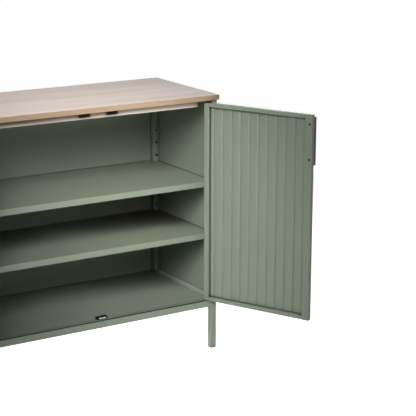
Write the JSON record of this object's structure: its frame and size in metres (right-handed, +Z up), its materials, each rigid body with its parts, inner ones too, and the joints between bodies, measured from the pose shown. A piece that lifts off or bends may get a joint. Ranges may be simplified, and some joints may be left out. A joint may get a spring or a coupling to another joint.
{
  "type": "sideboard cabinet",
  "caption": "Steel sideboard on square legs with a wooden top, pivoting ribbed doors and loose shelves on pins.",
  "frame": {"origin": "on the floor, under the middle of the box round the cabinet with both doors open at 115.5 degrees", "axes": "+X to the right seen from the front, +Y from the front to the back, +Z up"},
  "size_m": [1.0728, 0.7022, 0.81],
  "materials": {
    "sage_powder_coat": "satin powder coat",
    "oak_laminate": "matt pale oak decor",
    "cream_batten": "matt melamine",
    "black_plastic": "moulded",
    "black_steel": "black coat",
    "bare_steel": "plain",
    "zinc_steel": "zinc plate"
  },
  "bodies": {
    "cabinet": {"back_panel": "sage_powder_coat", "back_panel_screws": "zinc_steel", "batten_screws": "zinc_steel", "bottom_back_rail": "sage_powder_coat", "bottom_front_rail": "sage_powder_coat", "door_stop_batten": "cream_batten", "floor_catch": "black_plastic", "floor_catch_keeper": "bare_steel", "floor_panel": "sage_powder_coat", "foot_glides": "black_plastic", "left_back_post": "sage_powder_coat", "left_bottom_side_rail": "sage_powder_coat", "left_front_post": "sage_powder_coat", "left_lower_pivot_pin": "zinc_steel", "left_pivot_plate": "black_steel", "left_side_panel": "sage_powder_coat", "left_top_catch": "black_plastic", "left_top_catch_keeper": "bare_steel", "left_top_side_rail": "sage_powder_coat", "left_upper_pivot_pin": "zinc_steel", "lower_shelf": "sage_powder_coat", "lower_shelf_pins": "zinc_steel", "pivot_plate_screws": "zinc_steel", "pivot_washers": "black_plastic", "right_back_post": "sage_powder_coat", "right_bottom_side_rail": "sage_powder_coat", "right_front_post": "sage_powder_coat", "right_lower_pivot_pin": "zinc_steel", "right_pivot_plate": "black_steel", "right_side_panel": "sage_powder_coat", "right_top_catch": "black_plastic", "right_top_catch_keeper": "bare_steel", "right_top_side_rail": "sage_powder_coat", "right_upper_pivot_pin": "zinc_steel", "top_back_rail": "sage_powder_coat", "top_fixing_screws": "zinc_steel", "upper_shelf": "sage_powder_coat", "upper_shelf_pins": "zinc_steel", "wood_top": "oak_laminate"},
    "right_door": {"right_door_bottom_rail": "sage_powder_coat", "right_door_free_stile": "sage_powder_coat", "right_door_handle": "sage_powder_coat", "right_door_handle_screws": "zinc_steel", "right_door_hinge_stile": "sage_powder_coat", "right_door_lower_bush": "black_plastic", "right_door_ribbed_panel": "sage_powder_coat", "right_door_top_rail": "sage_powder_coat", "right_door_upper_bush": "black_plastic"},
    "left_door": {"left_door_bottom_rail": "sage_powder_coat", "left_door_free_stile": "sage_powder_coat", "left_door_handle": "sage_powder_coat", "left_door_handle_screws": "zinc_steel", "left_door_hinge_stile": "sage_powder_coat", "left_door_lower_bush": "black_plastic", "left_door_ribbed_panel": "sage_powder_coat", "left_door_top_rail": "sage_powder_coat", "left_door_upper_bush": "black_plastic"}
  },
  "joints": [
    {"name": "right_door_hinge", "type": "hinge", "parent": "cabinet", "child": "right_door", "pos_m": [0.36499, -0.01891, 0.475], "axis": [0, 0, 1], "range_deg": [-115.5, 6.5]},
    {"name": "left_door_hinge", "type": "hinge", "parent": "cabinet", "child": "left_door", "pos_m": [-0.36499, -0.01891, 0.475], "axis": [0, 0, -1], "range_deg": [-115.5, 6.5]}
  ]
}
